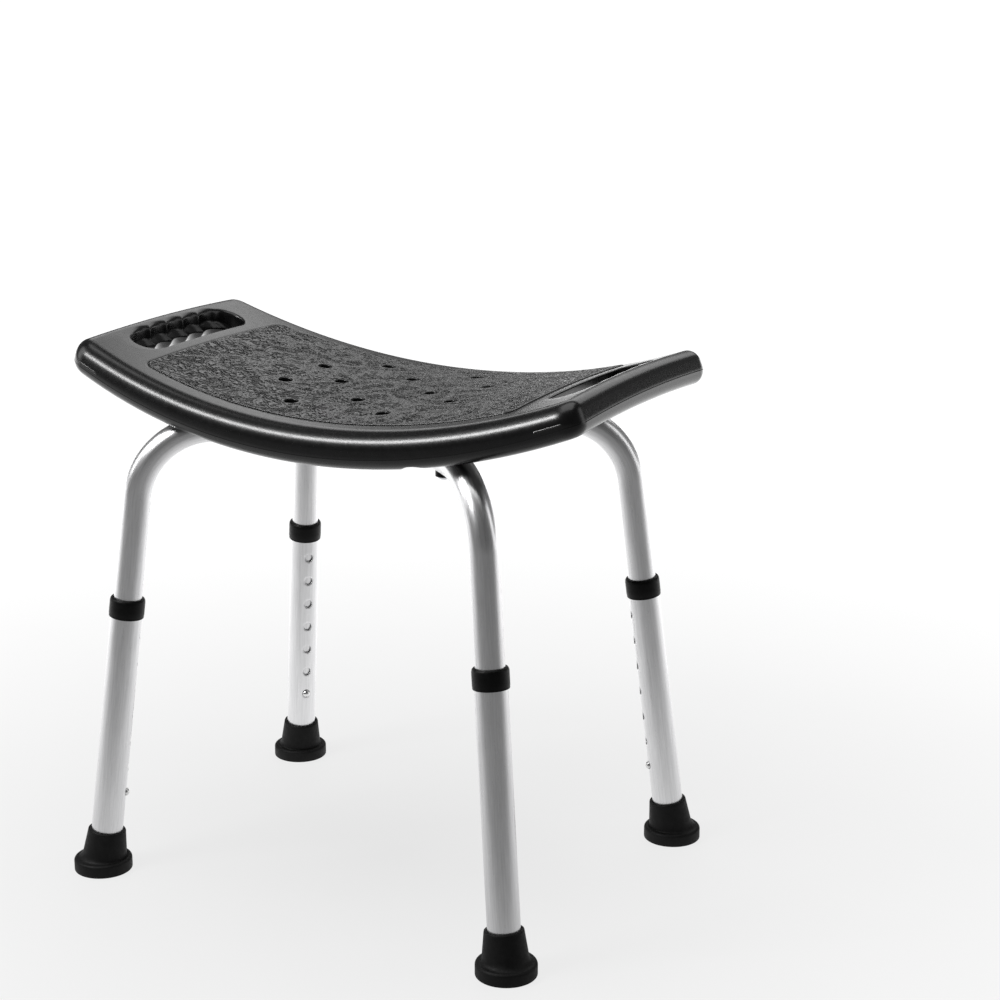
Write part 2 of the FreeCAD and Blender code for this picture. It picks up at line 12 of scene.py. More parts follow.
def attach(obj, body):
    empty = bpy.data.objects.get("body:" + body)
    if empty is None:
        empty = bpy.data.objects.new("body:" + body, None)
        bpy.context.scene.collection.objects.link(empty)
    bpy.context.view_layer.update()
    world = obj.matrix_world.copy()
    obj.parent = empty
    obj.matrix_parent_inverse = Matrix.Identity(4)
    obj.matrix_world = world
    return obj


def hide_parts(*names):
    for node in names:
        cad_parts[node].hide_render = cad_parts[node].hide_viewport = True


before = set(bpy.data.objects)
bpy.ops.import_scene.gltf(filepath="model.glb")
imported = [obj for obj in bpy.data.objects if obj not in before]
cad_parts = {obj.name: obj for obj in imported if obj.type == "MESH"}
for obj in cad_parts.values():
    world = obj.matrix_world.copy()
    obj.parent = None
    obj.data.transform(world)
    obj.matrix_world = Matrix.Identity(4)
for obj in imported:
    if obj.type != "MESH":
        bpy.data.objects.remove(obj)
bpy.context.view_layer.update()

MM = 0.001
TAU = 2 * math.pi
QUARTER = np.linspace(0, math.pi / 2, 9)


# ---------------------------------------------------------------- mesh tools
def inside(points, ring):
    """Which flat points lie in a closed ring, by counting crossings."""
    a, b = ring, np.roll(ring, -1, 0)
    x, y = points[:, :1], points[:, 1:]
    spans = (a[:, 1] > y) != (b[:, 1] > y)
    rise = np.where(b[:, 1] == a[:, 1], 1.0, b[:, 1] - a[:, 1])
    cross = a[:, 0] + (y - a[:, 1]) * (b[:, 0] - a[:, 0]) / rise
    return (spans & (x < cross)).sum(1) % 2 == 1


class Shell:
    """Points and faces of one mesh, gathered row by row, in millimetres."""

    def __init__(self):
        self.points, self.guides, self.faces, self.count = [], [], [], 0
        self.frame = np.eye(4)

    def row(self, points, guide=None):
        """Adds points given in the shell's frame. Their guide places them in a straightened tube."""
        points = np.asarray(points, float)
        self.guides.append(points if guide is None else guide)
        self.points.append(points @ self.frame[:3, :3].T + self.frame[:3, 3])
        self.count += len(points)
        return np.arange(self.count - len(points), self.count)

    def bands(self, rows, closed=True):
        """Quads between neighbouring rows of equal length."""
        for first, second in zip(rows, rows[1:]):
            quads = np.stack([first, np.roll(first, -1), np.roll(second, -1), second], 1)
            self.faces += (quads if closed else quads[:-1]).tolist()

    def cap(self, row, middle):
        """Fan from a row to one point."""
        centre = self.row([middle])[0]
        self.faces += np.stack([row, np.roll(row, -1), np.full(len(row), centre)], 1).tolist()

    def fill(self, rings, rows, clear, spacing, place):
        """Triangles over a flat region whose edges are rings, the first one outside.

        clear gives a flat point's distance from the region's edges, and place its point in space.
        """
        low, high = rings[0].min(0), rings[0].max(0)
        u = np.arange(low[0] + 0.3 * spacing, high[0], spacing)
        v = np.arange(low[1] + 0.3 * spacing, high[1], spacing * math.sqrt(0.75))
        grid = np.stack(np.meshgrid(u, v), -1)
        grid[1::2, :, 0] += spacing / 2
        grid = grid.reshape(-1, 2)
        grid = grid[clear(grid) > 0.55 * spacing]
        edges, owner = [], []
        for number, ring in enumerate(rings):
            start, size = len(owner), len(ring)
            edges += [(start + i, start + (i + 1) % size) for i in range(size)]
            owner += [number] * size
        owner = np.array(owner + [-1] * len(grid))
        flat = np.concatenate(list(rings) + [grid])
        corners = [Vector(p) for p in flat.tolist()]
        triangles = np.array(delaunay_2d_cdt(corners, edges, [], 1, 1e-9)[2])
        owners = owner[triangles]
        same = (owners == owners[:, :1]).all(1) & (owners[:, 0] > 0)
        middles = flat[triangles].mean(1)
        drop = np.zeros(len(triangles), bool)
        for number, ring in enumerate(rings[1:], 1):
            chosen = np.nonzero(same & (owners[:, 0] == number))[0]
            drop[chosen] = inside(middles[chosen], ring)
        inner = self.row(place(grid))
        self.faces += np.concatenate(list(rows) + [inner])[triangles[~drop]].tolist()

    def mesh(self, name, material):
        mesh = bpy.data.meshes.new(name)
        points = np.concatenate(self.points) * MM
        mesh.from_pydata(points.tolist(), [], self.faces)
        guide = mesh.attributes.new("guide", "FLOAT_VECTOR", "POINT")
        guide.data.foreach_set("vector", (np.concatenate(self.guides) * MM).ravel())
        bm = bmesh.new()
        bm.from_mesh(mesh)
        bmesh.ops.recalc_face_normals(bm, faces=bm.faces)
        bm.to_mesh(mesh)
        bm.free()
        mesh.shade_smooth()
        mesh.materials.append(material)
        return mesh


# ---------------------------------------------------------------- noise for moulded texture
class Noise:
    """Smooth noise over the plane, about -1 to 1, from a seeded lattice of slopes."""

    def __init__(self, seed):
        angles = np.random.RandomState(seed).rand(64, 64) * TAU
        self.slopes = np.stack([np.cos(angles), np.sin(angles)], -1)

    def __call__(self, x, y):
        i, j = np.floor(x).astype(int), np.floor(y).astype(int)
        fx, fy = x - i, y - j
        sx, sy = (f ** 3 * (f * (f * 6 - 15) + 10) for f in (fx, fy))
        value = 0.0
        for di in (0, 1):
            for dj in (0, 1):
                slope = self.slopes[(i + di) % 64, (j + dj) % 64]
                dot = slope[..., 0] * (fx - di) + slope[..., 1] * (fy - dj)
                value = value + dot * (sx if di else 1 - sx) * (sy if dj else 1 - sy)
        return 1.6 * value


# ---------------------------------------------------------------- seat's form
# The seat's top is a dish swept along a long arc and crowned across. A point of the seat is
# (u, y, depth): length along the dish, distance across it, and depth under its top. The two arcs
# are the top's and the underside's, and each axis is the height of an arc's centre.
ARC, CROWN, ARC_AXIS = 680.0, 1800.0, 1126.0
LOW_ARC, LOW_AXIS = 669.0, 1081.6


def sag(y):
    """How far the crown has dropped at a distance across the seat."""
    return CROWN - np.sqrt(CROWN ** 2 - y ** 2)


def dish(flat, depth):
    """Points in space of flat ones (u, y) at a depth under the seat's top."""
    turn = flat[:, 0] / ARC
    reach = ARC + sag(flat[:, 1]) + depth
    return np.stack([reach * np.sin(turn), flat[:, 1], ARC_AXIS - reach * np.cos(turn)], -1)


def upright(flat, depth):
    """Where points lie at a depth if they go straight down from the seat's top."""
    reach = ARC + sag(flat[:, 1])
    turn = np.arcsin(np.sin(flat[:, 0] / ARC) * reach / (reach + depth))
    return np.column_stack([ARC * turn, flat[:, 1]])


def thickness(flat):
    """Depth of the seat's underside below its top."""
    turn = flat[:, 0] / ARC
    rise = ARC_AXIS - LOW_AXIS
    drop = sag(flat[:, 1])
    low = rise * np.cos(turn) + np.sqrt((LOW_ARC + drop) ** 2 - (rise * np.sin(turn)) ** 2)
    return low - ARC - drop


class Bowed:
    """Outline with straight ends, bowed long sides and rounded corners."""

    def __init__(self, end, middle, radius, corner, step=2.0):
        self.end, self.middle, self.radius, self.corner = end, middle, radius, corner
        self.u = end - corner
        self.y = middle - radius + math.sqrt((radius - corner) ** 2 - self.u ** 2)
        self.turn = math.atan2(self.y + radius - middle, self.u)
        self.counts = [max(int(length / step), 4) for length in
                       (self.y, 1.6 * corner * self.turn, radius * (math.pi / 2 - self.turn))]

    def ring(self, inset=0.0):
        """Closed loop, the outline moved inward by one distance, or by one for each point."""
        ends, corners, sides = self.counts
        end = np.column_stack([np.full(ends, self.end), np.linspace(0, self.y, ends, endpoint=False)])
        corner = np.tile((self.u, self.y), (corners, 1))
        side = np.tile((0, self.middle - self.radius), (sides + 1, 1))
        radius = np.repeat((0, self.corner, self.radius), (ends, corners, sides + 1))
        facing = np.concatenate([np.zeros(ends), np.linspace(0, self.turn, corners, endpoint=False),
                                 np.linspace(self.turn, math.pi / 2, sides + 1)])
        reach = radius - np.broadcast_to(inset, (4 * len(radius) - 4,))[:len(radius)]
        quarter = np.concatenate([end, corner, side])
        quarter = quarter + reach[:, None] * np.column_stack([np.cos(facing), np.sin(facing)])
        turned = (quarter * (-1, 1))[::-1]
        half = np.concatenate([quarter[:-1], turned[:-1]])
        return np.concatenate([half, -half])

    def around(self, at_ends, at_sides):
        """A value for each point of the ring, changing over its corners."""
        ends, corners, sides = self.counts
        share = np.concatenate([np.zeros(ends), np.linspace(0, 1, corners, endpoint=False),
                                np.ones(sides + 1)])
        quarter = at_ends + (at_sides - at_ends) * share ** 2 * (3 - 2 * share)
        half = np.concatenate([quarter[:-1], quarter[:0:-1]])
        return np.concatenate([half, half])

    def clear(self, flat):
        """How far inside the outline each point is."""
        u, y = abs(flat[:, 0]), abs(flat[:, 1])
        edge = np.minimum(self.end - u, self.radius - np.hypot(u, y + self.radius - self.middle))
        du, dy = u - self.u, y - self.y
        near = (du > 0) & (dy > 0) & (np.arctan2(dy, du) < self.turn)
        return np.where(near, self.corner - np.hypot(du, dy), edge)


class Round:
    """Circular hole or post."""

    def __init__(self, u, y, radius, count=44):
        self.u, self.y, self.radius, self.count = u, y, radius, count

    def ring(self, outset=0.0):
        t = np.arange(self.count) * TAU / self.count
        reach = self.radius + outset
        return np.stack([self.u + reach * np.cos(t), self.y + reach * np.sin(t)], 1)

    def clear(self, flat, outset=0.0):
        return np.hypot(flat[:, 0] - self.u, flat[:, 1] - self.y) - self.radius - outset


class Slot:
    """Hand slot: straight inner edge, round ends, and five finger scallops on its outer edge."""

    INNER, OUTER, HALF, END = 24.4, 10.0, 58.5, 17.2
    FINGER, SHIFT, PITCH = 23.0, 9.5, 24.4
    STRAIGHT, TURN, LONG = 60, 30, 260  # points along the inner edge, each end and the outer edge

    def __init__(self, u, side):
        self.u, self.side = u, side
        self.middle = (self.OUTER - self.INNER) / 2
        self.far = np.linspace(math.pi, 0, self.TURN, endpoint=False)
        self.near = np.linspace(0, -math.pi, self.TURN, endpoint=False)

    def soft_edge(self):
        """0 on the straight inner edge to 1 on the scalloped one, for each point of the ring."""
        facing = np.concatenate([-np.ones(self.STRAIGHT), np.cos(np.linspace(math.pi, 0, self.TURN)),
                                 np.ones(self.LONG), np.cos(self.near)])
        return np.clip(0.5 + 0.5 * facing, 0, 1)

    def ring(self, outset=0.0):
        """Closed loop, the outline moved outward by one distance, or by one for each point."""
        sizes = np.cumsum([self.STRAIGHT, self.TURN, self.LONG])
        grow = np.broadcast_to(outset, (sizes[-1] + self.TURN,))
        on_inner, on_far, on_outer, on_near = np.split(grow, sizes)
        y = np.linspace(-self.HALF, self.HALF, self.STRAIGHT, endpoint=False)
        inner = np.stack([-self.INNER - on_inner, y], 1)
        far = self.arc(self.far, 1, on_far)
        y = np.linspace(self.HALF, -self.HALF, self.LONG, endpoint=False)
        outer = np.stack([self.scallop(y, on_outer), y], 1)
        near = self.arc(self.near, -1, on_near)
        loop = np.concatenate([inner, far, outer, near])
        return loop * (self.side, 1) + (self.u * self.side, 0)

    def arc(self, t, end, grow):
        """Round end, widened where the last finger's scallop reaches past it."""
        away = np.stack([np.cos(t), np.abs(np.sin(t))], 1)
        offset = np.array([self.middle + self.SHIFT, self.HALF - 2 * self.PITCH])
        along = -(away @ offset)
        room = (self.FINGER + grow) ** 2 - offset @ offset
        finger = along + np.sqrt(along ** 2 + room)
        plain = self.END + grow
        wider = 0.5 * (plain + finger + np.hypot(plain - finger, 0.3))
        reach = np.where(away[:, 0] > 0, wider, plain)
        return np.stack([self.middle + reach * away[:, 0], end * (self.HALF + reach * away[:, 1])], 1)

    def scallop(self, y, grow):
        """Outer edge: overlapping finger arcs with softened crests between them."""
        across = y - np.clip(np.round(y / self.PITCH), -2, 2) * self.PITCH
        crest = self.PITCH / 2
        softened = crest - np.hypot(crest - np.abs(across), 1.0 + 0.4 * grow)
        inner_cell = np.abs(y) < 2 * self.PITCH
        across = np.where(inner_cell, softened, np.abs(across))
        return np.sqrt((self.FINGER + grow) ** 2 - across ** 2) - self.SHIFT

    def clear(self, flat, outset=0.0):
        u = flat[:, 0] * self.side - self.u
        beyond = np.maximum(np.abs(flat[:, 1]) - self.HALF + 1, 0)
        return np.hypot(u, beyond) - self.INNER - outset


SEAT = Bowed(255.0, 144.0, 1734.4, 20.0)
PANEL = Bowed(188.4, 116.0, 1447.5, 9.0, 1.2)
RECESS = Bowed(186.0, 122.0, 1136.1, 22.0, 3.0)
SLOTS = [Slot(226.1, side) for side in (1, -1)]
DRAINS = [(x, y) for x in (-86, 86) for y in (-32, 32)]
DRAINS += [(x, y) for x in (-47, 47) for y in (-80, 0, 80)]
DRAINS += [(0, -46), (0, 46)]
# Azimuth of each leg in degrees, and distance of its two screws from the seat's middle.
LEGS = {"fl": 217.0, "fr": -37.0, "bl": 143.0, "br": 37.0}
SCREW_REACH = (60.0, 137.0)
# Arches in the long sides' lower edge, over the tubes: place, height, radius and least distance
# from the seat's long middle line.
ARCH_X, ARCH_BASE, ARCH_RADIUS, ARCH_FROM = 112.0, 395.6, 24.6, 100.0
TOP_EDGE = SEAT.around(11.0, 16.0)
LOW_EDGE, LOW_REACH = SEAT.around(12.5, 15.0), SEAT.around(11.5, 14.5)
DECK = 16.0  # depth of the recess's ceiling under the seat's top
PANEL_RISE, GROOVE_DEPTH = 1.0, 0.9
# The parting line is a low ridge this far round the lower edge's rounding, in radians.
PARTING_TURN, PARTING_STEP, PARTING_PROUD = 0.262, 0.035, 0.28
DRAIN, DRAIN_LIP = 6.0, 1.3
POST, POST_CAP = 15.0, 428.9  # radius, and height of the closed end


def polar(azimuth, reach):
    t = math.radians(azimuth)
    return reach * math.cos(t), reach * math.sin(t)


POSTS = [polar(azimuth, reach) for azimuth in LEGS.values() for reach in SCREW_REACH]
POST_ROOTS = [Round(ARC * math.asin(x / (ARC + DECK)), y, POST, 56) for x, y in POSTS]
DRAIN_HOLES = [Round(ARC * math.asin(x / ARC), y, DRAIN) for x, y in DRAINS]


# ---------------------------------------------------------------- seat
class Wrinkles:
    """Leather-like creases pressed into the panel: short flowing valleys and fine grain."""

    def __init__(self):
        self.noise = [Noise(seed) for seed in range(11, 19)]

    def __call__(self, u, y):
        n = self.noise
        u, y = u + 7.0 * n[0](u / 31, y / 31), y + 7.0 * n[1](u / 31, y / 31)
        u, y = u + 1.5 * n[2](u / 7, y / 7), y + 1.5 * n[3](u / 7, y / 7)
        choice = np.clip(0.5 + 1.4 * n[4](u / 24, y / 24), 0, 1)
        valleys = []
        for k, angle in ((5, -12), (6, 48)):
            t = math.radians(angle)
            along = u * math.cos(t) + y * math.sin(t)
            across = y * math.cos(t) - u * math.sin(t)
            valleys.append(np.exp(-(n[k](along / 8.0, across / 2.8) / 0.18) ** 2))
        crease = np.maximum(valleys[0] * choice, valleys[1] * (1 - choice))
        grain = n[7](u / 1.7, y / 1.7)
        return 0.9 * crease + 0.05 * grain


def rounding(radius, count=9):
    """(outset, depth) pairs of a quarter round from a flat face down to a wall."""
    return [(radius * (1 - math.sin(t)), radius * (1 - math.cos(t)))
            for t in np.linspace(0, math.pi / 2, count)]


def notched(points):
    """Lift the lower edge of the long sides into the arches over the leg tubes."""
    x = np.abs(np.abs(points[:, 0]) - ARCH_X)
    arch = ARCH_BASE + np.sqrt(np.maximum(ARCH_RADIUS ** 2 - x ** 2, 0))
    under = (np.abs(points[:, 1]) > ARCH_FROM) & (x < ARCH_RADIUS)
    points[:, 2] = np.where(under, np.maximum(points[:, 2], arch), points[:, 2])
    return points


def underside(flat, rise=0.0):
    """Points of the seat's lower face, or so far above it."""
    return notched(dish(flat, thickness(flat) - rise))


def outer_edge(shell):
    """Top round, wall with its parting line, and bottom round. Returns its first and last rows."""
    rows = [shell.row(dish(SEAT.ring(out), down)) for out, down in rounding(TOP_EDGE, 14)]
    angles = np.concatenate([np.linspace(0, 0.2, 4), PARTING_TURN + PARTING_STEP * np.arange(-1, 2),
                             np.linspace(0.33, math.pi / 2, 13)])
    for t in angles:
        proud = PARTING_PROUD if abs(t - PARTING_TURN) < 1e-6 else 0.0
        flat = SEAT.ring(LOW_REACH * (1 - math.cos(t)) - proud * math.cos(t))
        rows.append(shell.row(underside(flat, (LOW_EDGE + proud) * (1 - math.sin(t)))))
    shell.bands(rows)
    return rows[0], rows[-1]


def hand_slots(shell):
    """Walls of both slots. Returns (ring, row) pairs of their upper and of their lower edges."""
    tops, bottoms = [], []
    for slot in SLOTS:
        soft = 1.8 + 1.6 * slot.soft_edge()
        rows = []
        for t in QUARTER:
            flat, deep = slot.ring(soft * (1 - math.sin(t))), soft * (1 - math.cos(t))
            rows.append(shell.row(dish(upright(flat, deep), deep)))
            if t == 0:
                tops.append((flat, rows[0]))
        flat = slot.ring()
        full = thickness(upright(flat, 30.0))
        ease, lift = 1.5 + 12.0 * slot.soft_edge(), 1.5 + 15.5 * slot.soft_edge()
        for share in (0.3, 0.6, 0.85):
            deep = soft + share * (full - soft - lift)
            rows.append(shell.row(dish(upright(flat, deep), deep)))
        for t in np.linspace(0, math.pi / 2, 13):
            flat = upright(slot.ring(ease * (1 - math.cos(t))), full)
            rows.append(shell.row(underside(flat, lift * (1 - math.sin(t)))))
        bottoms.append((flat, rows[-1]))
        shell.bands(rows)
    return tops, bottoms


def panel_groove(shell):
    """Groove round the panel and the panel's raised edge. Returns its outer and inner rows."""
    steps = [(-1.5, 0), (-1.2, 0.1), (-0.95, 0.4), (-0.6, GROOVE_DEPTH), (-0.2, GROOVE_DEPTH),
             (0.0, 0.5), (0.1, 0.0), (0.2, -0.5), (0.5, -0.85), (1.0, -PANEL_RISE)]
    rows = [shell.row(dish(PANEL.ring(out), down)) for out, down in steps]
    shell.bands(rows)
    return rows[0], rows[-1]


def rim_face(shell, edge_row, groove_row, slot_tops):
    def clear(flat):
        return np.min([SEAT.clear(flat) - TOP_EDGE.max(), -PANEL.clear(flat) - 1.5]
                      + [slot.clear(flat, 3.6) for slot in SLOTS], 0)

    rings = [SEAT.ring(TOP_EDGE), PANEL.ring(-1.5)] + [flat for flat, row in slot_tops]
    rows = [edge_row, groove_row] + [row for flat, row in slot_tops]
    shell.fill(rings, rows, clear, 2.2, lambda flat: dish(flat, 0))


def drain_walls(shell):
    """Drain holes from the panel to the deck. Returns upper rows and (ring, row) pairs below."""
    tops, bottoms = [], []
    for hole in DRAIN_HOLES:
        rows = [shell.row(dish(hole.ring(out), down - PANEL_RISE))
                for out, down in rounding(DRAIN_LIP, 6)]
        rows += [shell.row(dish(upright(hole.ring(), DECK * share), DECK * share))
                 for share in (0.35, 0.7)]
        for out, down in rounding(0.8, 4)[::-1]:
            flat = upright(hole.ring(out), DECK)
            rows.append(shell.row(dish(flat, DECK - down)))
        shell.bands(rows)
        tops.append(rows[0])
        bottoms.append((flat, rows[-1]))
    return tops, bottoms


def panel_face(shell, groove_row, drain_tops):
    """Wrinkled face of the panel, fading to smooth at its edge and at the drain holes."""
    wrinkles = Wrinkles()

    def clear(flat):
        return np.min([PANEL.clear(flat) - 1.0]
                      + [hole.clear(flat, DRAIN_LIP) for hole in DRAIN_HOLES], 0)

    def place(flat):
        fade = np.clip(clear(flat) / 1.6, 0, 1)
        return dish(flat, -PANEL_RISE + fade * wrinkles(flat[:, 0], flat[:, 1]))

    spacing = 0.75
    rings = [PANEL.ring(1.0)] + [hole.ring(DRAIN_LIP) for hole in DRAIN_HOLES]
    shell.fill(rings, [groove_row] + drain_tops, clear, spacing, place)


def recess_walls(shell):
    """Walls of the recess under the seat. Returns its lowest and highest rows."""
    rows = [shell.row(underside(RECESS.ring(-out), rise)) for out, rise in rounding(1.5, 5)]
    wall = RECESS.ring()
    for share in (0.7, 0.3):
        deep = DECK + 3.0 + share * (thickness(wall) - DECK - 4.5)
        rows.append(shell.row(notched(dish(wall, deep))))
    for out, down in rounding(3.0, 6)[::-1]:
        rows.append(shell.row(dish(RECESS.ring(out), DECK + down)))
    shell.bands(rows)
    return rows[0], rows[-1]


def screw_posts(shell):
    """Posts from the deck down to the leg tubes, each with a saddle. Returns their upper rows."""
    tops = []
    for (x, y), post in zip(POSTS, POST_ROOTS):
        rows = [shell.row(dish(post.ring(out), DECK + down)) for out, down in rounding(2.0, 5)]
        circle = Round(x, y, POST, 56)
        azimuth = math.atan2(y, x)
        for reach, z in ((0, 425.0), (0, 420.5), (-0.3, 419.8), (-1, 419.5), (-4, 419.5),
                         (-6, 419.5), (-8, 419.5), (-10, 419.5), (-12.5, 419.5)):
            flat = circle.ring(reach)
            aside = np.abs(flat[:, 1] * math.cos(azimuth) - flat[:, 0] * math.sin(azimuth))
            saddle = RUN_LEVEL + np.sqrt(np.maximum((UPPER + 0.2) ** 2 - aside ** 2, 0))
            rows.append(shell.row(np.column_stack([flat, np.maximum(z, saddle)])))
        shell.bands(rows)
        shell.cap(rows[-1], (x, y, POST_CAP))
        tops.append(rows[0])
    return tops


def deck_face(shell, recess_row, drain_bottoms, post_tops):
    """Ceiling of the recess."""
    def clear(flat):
        return np.min([RECESS.clear(flat) - 3.0] + [hole.clear(flat, 2.6) for hole in DRAIN_HOLES]
                      + [post.clear(flat, 2.0) for post in POST_ROOTS], 0)

    rings = [RECESS.ring(3.0)] + [flat for flat, row in drain_bottoms]
    rings += [post.ring(2.0) for post in POST_ROOTS]
    rows = [recess_row] + [row for flat, row in drain_bottoms] + post_tops
    shell.fill(rings, rows, clear, 3.0, lambda flat: dish(flat, DECK))


def lower_face(shell, edge_row, recess_row, slot_bottoms):
    """Underside of the rim, round the recess.

    A slot goes straight down, so measured along the dish its lower edge is slot_shift nearer the
    seat's middle than its upper one.
    """
    slot_shift = 10.8

    def clear(flat):
        shifted = np.column_stack([flat[:, 0] + slot_shift * np.sign(flat[:, 0]), flat[:, 1]])
        return np.min([SEAT.clear(flat) - LOW_REACH.max(), -RECESS.clear(flat) - 1.5]
                      + [slot.clear(shifted, 2.5) for slot in SLOTS], 0)

    rings = [SEAT.ring(LOW_REACH), RECESS.ring(-1.5)] + [flat for flat, row in slot_bottoms]
    rows = [edge_row, recess_row] + [row for flat, row in slot_bottoms]
    shell.fill(rings, rows, clear, 2.4, underside)


def seat(material):
    shell = Shell()
    edge_top, edge_bottom = outer_edge(shell)
    slot_tops, slot_bottoms = hand_slots(shell)
    groove_outer, groove_inner = panel_groove(shell)
    rim_face(shell, edge_top, groove_outer, slot_tops)
    drain_tops, drain_bottoms = drain_walls(shell)
    panel_face(shell, groove_inner, drain_tops)
    recess_bottom, recess_top = recess_walls(shell)
    post_tops = screw_posts(shell)
    deck_face(shell, recess_top, drain_bottoms, post_tops)
    lower_face(shell, edge_bottom, recess_bottom, slot_bottoms)
    return shell.mesh("stool_seat", material)


# ---------------------------------------------------------------- legs
SPLAY = math.radians(7.294)
FOOT_REACH = 268.3
UPPER, UPPER_BORE, LOWER, LOWER_BORE = 12.7, 11.2, 14.3, 13.0
RUN_START, RUN_END, RUN_LEVEL, BEND = 30.0, 154.27, 416.0, 69.0
UPPER_END, LOWER_START, LOWER_END = 54.0, 8.0, 259.5
BUTTON, PITCH, PIN_HOLE = 76.56, 25.4, 4.0
AROUND = 72


def radial(azimuth):
    return Matrix.Rotation(math.radians(azimuth), 4, "Z")


def leg_axis(azimuth):
    """Frame at a foot with Z up the leg and X outward, in metres."""
    shift = Matrix.Translation((FOOT_REACH * MM, 0, 0))
    return radial(azimuth) @ shift @ Matrix.Rotation(-SPLAY, 4, "Y")


def circle(radius, z, count=AROUND, start=math.pi):
    t = start + np.arange(count) * TAU / count
    return np.column_stack([radius * np.cos(t), radius * np.sin(t), np.full(count, z)])


def drilled(shell, radius, low, high, holes, spacing, out):
    """Tube wall between two heights with pin holes on its inner side; rings of each hole's edge.

    out is how far each hole's ring opens beyond the hole. Returns (low row, high row, hole rows).
    """
    around = TAU * radius
    x = np.linspace(0, around, AROUND + 1)
    z = np.linspace(low, high, max(int((high - low) / spacing), 2))[1:-1]

    def wrap(flat, reach=radius):
        t = flat[:, 0] / radius
        return np.column_stack([reach * np.cos(t), reach * np.sin(t), flat[:, 1]])

    bottom, top = (np.column_stack([x, np.full(len(x), level)]) for level in (low, high))
    seam = np.column_stack([np.zeros(len(z)), z])
    rows = [shell.row(wrap(bottom[:-1])), shell.row(wrap(seam)), shell.row(wrap(top[:-1]))]
    ring = np.concatenate([bottom, seam + (around, 0), top[::-1], seam[::-1]])
    index = np.concatenate([rows[0], rows[0][:1], rows[1], rows[2][:1], rows[2][::-1],
                            rows[1][::-1]])
    posts = [Round(around / 2, height, PIN_HOLE, 32) for height in holes]
    edges = [shell.row(wrap(post.ring(out))) for post in posts]

    def clear(flat):
        border = np.minimum(np.minimum(flat[:, 0], around - flat[:, 0]),
                            np.minimum(flat[:, 1] - low, high - flat[:, 1]))
        return np.min([border] + [post.clear(flat, out) for post in posts], 0)

    shell.fill([ring] + [post.ring(out) for post in posts], [index] + edges, clear, spacing, wrap)
    return rows[0], rows[2], edges


def pin_edges(shell, outer, inner, radius, holes):
    """Walls of the pin holes, joining the rings on a tube's two faces, edges eased."""
    for first, last, height in zip(outer, inner, holes):
        t = np.arange(32) * TAU / 32
        ring = np.column_stack([PIN_HOLE * np.cos(t), PIN_HOLE * np.sin(t)])
        turn = math.pi + ring[:, 0] / radius
        reach = radius - 0.25
        middle = np.column_stack([reach * np.cos(turn), reach * np.sin(turn), height + ring[:, 1]])
        shell.bands([first, shell.row(middle), last])


def lower_tube(material):
    shell = Shell()
    holes = [BUTTON + i * PITCH for i in range(7)]
    outer = drilled(shell, LOWER, LOWER_START + 0.4, LOWER_END - 0.4, holes, 1.7, 0.25)
    inner = drilled(shell, LOWER_BORE, LOWER_START + 0.4, LOWER_END - 0.4, holes, 2.4, 0.0)
    pin_edges(shell, outer[2], inner[2], LOWER, holes)
    for side, z in ((0, LOWER_START), (1, LOWER_END)):
        lips = [shell.row(circle(radius, z, start=0)) for radius in (LOWER - 0.4, LOWER_BORE + 0.3)]
        shell.bands([outer[side]] + lips + [inner[side]])
    return shell.mesh("lower_tube", material)


def upper_tube(material):
    """Level run, bend and sloping leg in the radial plane, as one swept tube."""
    shell = Shell()
    slope = Matrix.Translation((FOOT_REACH, 0, 0)) @ Matrix.Rotation(-SPLAY, 4, "Y")
    middle = np.array([RUN_END, 0, RUN_LEVEL - BEND])
    turns = np.concatenate([[SPLAY], np.linspace(SPLAY, math.pi / 2, 64)[1:]])
    ends, holes = [], []
    for radius, out, spacing in ((UPPER, 0.25, 1.7), (UPPER_BORE, 0.0, 2.4)):
        shell.frame = np.array(slope)
        low, high, edges = drilled(shell, radius, UPPER_END + 0.4, 100.0, [BUTTON], spacing, out)
        holes.append(edges)
        sweep = [high]
        ring = circle(radius, 0, start=0)
        for height in (150.0, 200.0, 260.0, 310.0):
            sweep.append(shell.row(ring + (0, 0, height)))
        shell.frame = np.eye(4)
        for turn in turns:
            out = np.array([math.cos(turn), 0, math.sin(turn)])
            points = middle + (BEND + ring[:, :1]) * out + ring[:, 1:2] * (0, 1, 0)
            sweep.append(shell.row(points, ring + (0, 0, 360 + BEND * turn)))
        for x in (140.0, 115.0, 90.0, 60.0, RUN_START + 0.4):
            points = np.column_stack([np.full(AROUND, x), ring[:, 1], RUN_LEVEL + ring[:, 0]])
            sweep.append(shell.row(points, ring + (0, 0, 620 - x)))
        shell.bands(sweep)
        ends.append((low, sweep[-1]))
    shell.frame = np.array(slope)
    pin_edges(shell, *holes, UPPER, [BUTTON])
    for first, last in zip(*ends):
        shell.bands([first, last])
    return shell.mesh("upper_tube", material)


def lathe(shell, profile, count=AROUND):
    """Rows of circles from (radius, height) pairs."""
    rows = [shell.row(circle(radius, z, count)) for radius, z in profile]
    shell.bands(rows)
    return rows


def collar(material):
    """Moulded sleeve on the lower tube's top, with eased edges and a bead round its foot."""
    shell = Shell()
    profile = [(14.4, 246.0), (15.2, 246.0), (15.55, 246.15), (15.7, 246.5), (15.7, 248.2),
               (15.75, 248.5), (15.9, 248.8), (15.9, 254.0), (15.9, 260.2), (15.85, 261.2),
               (15.65, 262.2), (15.25, 263.1), (14.7, 263.75), (14.1, 264.0), (13.5, 264.0),
               (13.25, 263.9), (13.15, 263.6), (13.15, 259.6), (14.4, 259.6)]
    rows = lathe(shell, profile)
    shell.bands([rows[-1], rows[0]])
    return shell.mesh("leg_collar", material)


